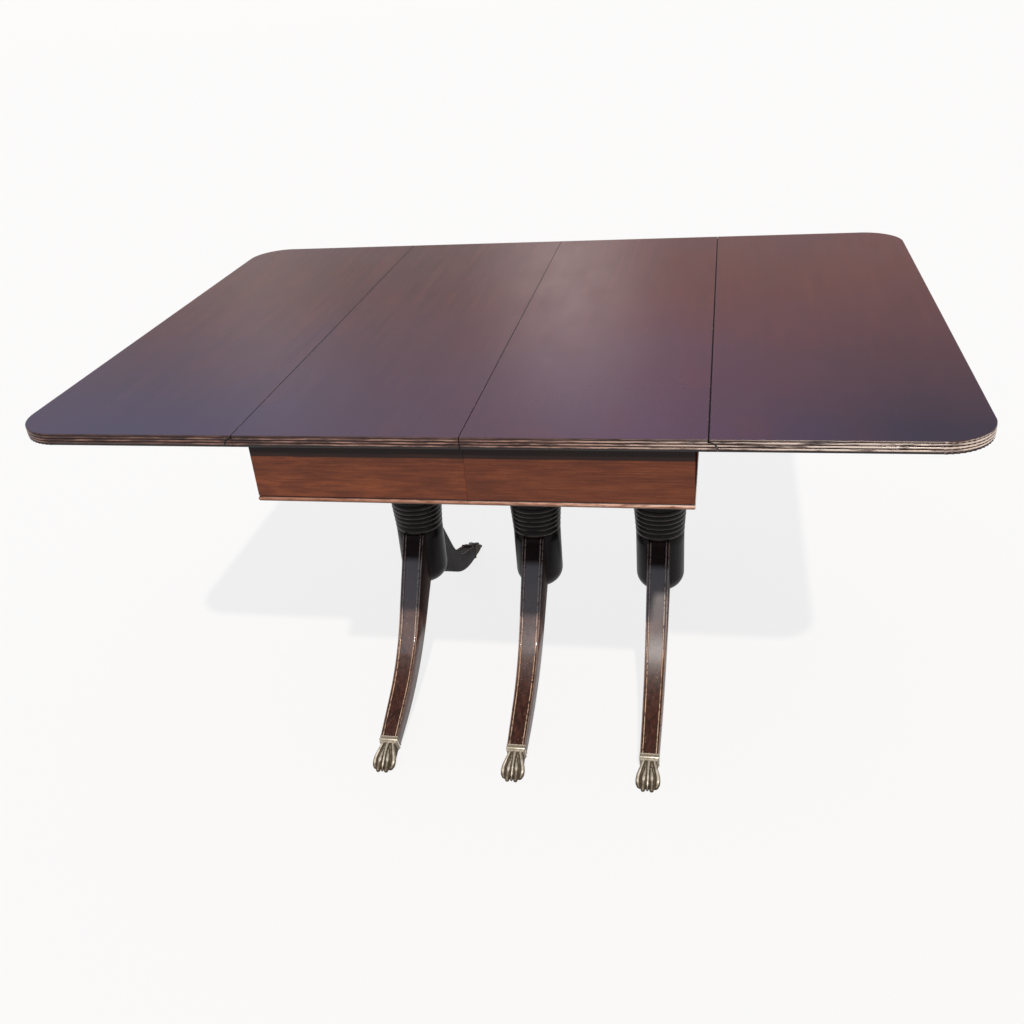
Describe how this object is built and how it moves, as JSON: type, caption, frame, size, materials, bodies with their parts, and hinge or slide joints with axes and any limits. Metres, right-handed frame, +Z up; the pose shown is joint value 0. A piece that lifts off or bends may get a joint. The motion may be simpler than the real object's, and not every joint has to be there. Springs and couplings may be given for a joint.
{
  "type": "drop-leaf dining table",
  "caption": "Rectangular wooden dining table with drop leaves on rule joints, a top that parts at the middle on slides, and turned pedestals on sabre legs with brass paws.",
  "frame": {"origin": "on the floor under the middle of the table top", "axes": "+X along the table's length to the right as seen from the front, +Y towards the back, +Z up"},
  "size_m": [1.446, 1.046, 0.75],
  "materials": {
    "mahogany_top": "french-polished",
    "mahogany_apron": "polished veneer",
    "mahogany_bead": "worn polish",
    "ebonised_mahogany": "dark polish",
    "antique_brass": "aged",
    "hinge_steel": "oxidised",
    "lock_steel": "stamped",
    "beech": "bare",
    "pine": "bare"
  },
  "bodies": {
    "centre_support": {"column_centre": "ebonised_mahogany", "leg_centre_front": "ebonised_mahogany", "paw_centre_front": "antique_brass", "bearer_centre": "pine", "slides_centre": "beech", "slide_stop_pins": "lock_steel"},
    "left_half": {"top_left": "mahogany_top", "apron_front_left": "mahogany_apron", "apron_rear_left": "mahogany_apron", "apron_end_left": "mahogany_apron", "bead_left": "mahogany_bead", "corner_blocks_left": "pine", "bearer_left": "pine", "bearer_cleats_left": "pine", "slides_left": "beech", "column_left": "ebonised_mahogany", "leg_left_front": "ebonised_mahogany", "leg_left_rear": "ebonised_mahogany", "paw_left_front": "antique_brass", "paw_left_rear": "antique_brass", "hinge_top_plates_left": "hinge_steel", "hinge_pins_left": "hinge_steel", "loper_guides_left": "beech", "seam_pins": "beech", "lock_bases": "lock_steel"},
    "right_half": {"top_right": "mahogany_top", "apron_front_right": "mahogany_apron", "apron_rear_right": "mahogany_apron", "apron_end_right": "mahogany_apron", "bead_right": "mahogany_bead", "corner_blocks_right": "pine", "bearer_right": "pine", "bearer_cleats_right": "pine", "slides_right": "beech", "column_right": "ebonised_mahogany", "leg_right_front": "ebonised_mahogany", "leg_right_rear": "ebonised_mahogany", "paw_right_front": "antique_brass", "paw_right_rear": "antique_brass", "hinge_top_plates_right": "hinge_steel", "hinge_pins_right": "hinge_steel", "loper_guides_right": "beech", "lock_keepers": "lock_steel"},
    "left_leaf": {"leaf_left": "mahogany_top", "hinge_leaf_plates_left": "hinge_steel"},
    "right_leaf": {"leaf_right": "mahogany_top", "hinge_leaf_plates_right": "hinge_steel"},
    "left_front_loper": {"loper_left_front": "beech", "loper_peg_left_front": "beech"},
    "left_rear_loper": {"loper_left_rear": "beech", "loper_peg_left_rear": "beech"},
    "right_front_loper": {"loper_right_front": "beech", "loper_peg_right_front": "beech"},
    "right_rear_loper": {"loper_right_rear": "beech", "loper_peg_right_rear": "beech"},
    "front_lock": {"lock_lever_front": "lock_steel"},
    "rear_lock": {"lock_lever_rear": "lock_steel"}
  },
  "joints": [
    {"name": "left_half_slide", "type": "slide", "parent": "centre_support", "child": "left_half", "axis": [-1, 0, 0], "range_m": [0, 0.3]},
    {"name": "right_half_slide", "type": "slide", "parent": "centre_support", "child": "right_half", "axis": [1, 0, 0], "range_m": [0, 0.3]},
    {"name": "left_leaf_drop", "type": "hinge", "parent": "left_half", "child": "left_leaf", "pos_m": [-0.346, 0, 0.733], "axis": [0, -1, 0], "range_deg": [0, 90]},
    {"name": "right_leaf_drop", "type": "hinge", "parent": "right_half", "child": "right_leaf", "pos_m": [0.346, 0, 0.733], "axis": [0, 1, 0], "range_deg": [0, 90]},
    {"name": "left_front_loper_slide", "type": "slide", "parent": "left_half", "child": "left_front_loper", "axis": [1, 0, 0], "range_m": [-0.17, 0]},
    {"name": "left_rear_loper_slide", "type": "slide", "parent": "left_half", "child": "left_rear_loper", "axis": [1, 0, 0], "range_m": [-0.17, 0]},
    {"name": "right_front_loper_slide", "type": "slide", "parent": "right_half", "child": "right_front_loper", "axis": [-1, 0, 0], "range_m": [-0.17, 0]},
    {"name": "right_rear_loper_slide", "type": "slide", "parent": "right_half", "child": "right_rear_loper", "axis": [-1, 0, 0], "range_m": [-0.17, 0]},
    {"name": "front_lock_turn", "type": "hinge", "parent": "left_half", "child": "front_lock", "pos_m": [-0.025, -0.4, 0.722], "axis": [0, 0, 1], "range_deg": [0, 90]},
    {"name": "rear_lock_turn", "type": "hinge", "parent": "left_half", "child": "rear_lock", "pos_m": [-0.025, 0.4, 0.722], "axis": [0, 0, 1], "range_deg": [0, 90]}
  ]
}
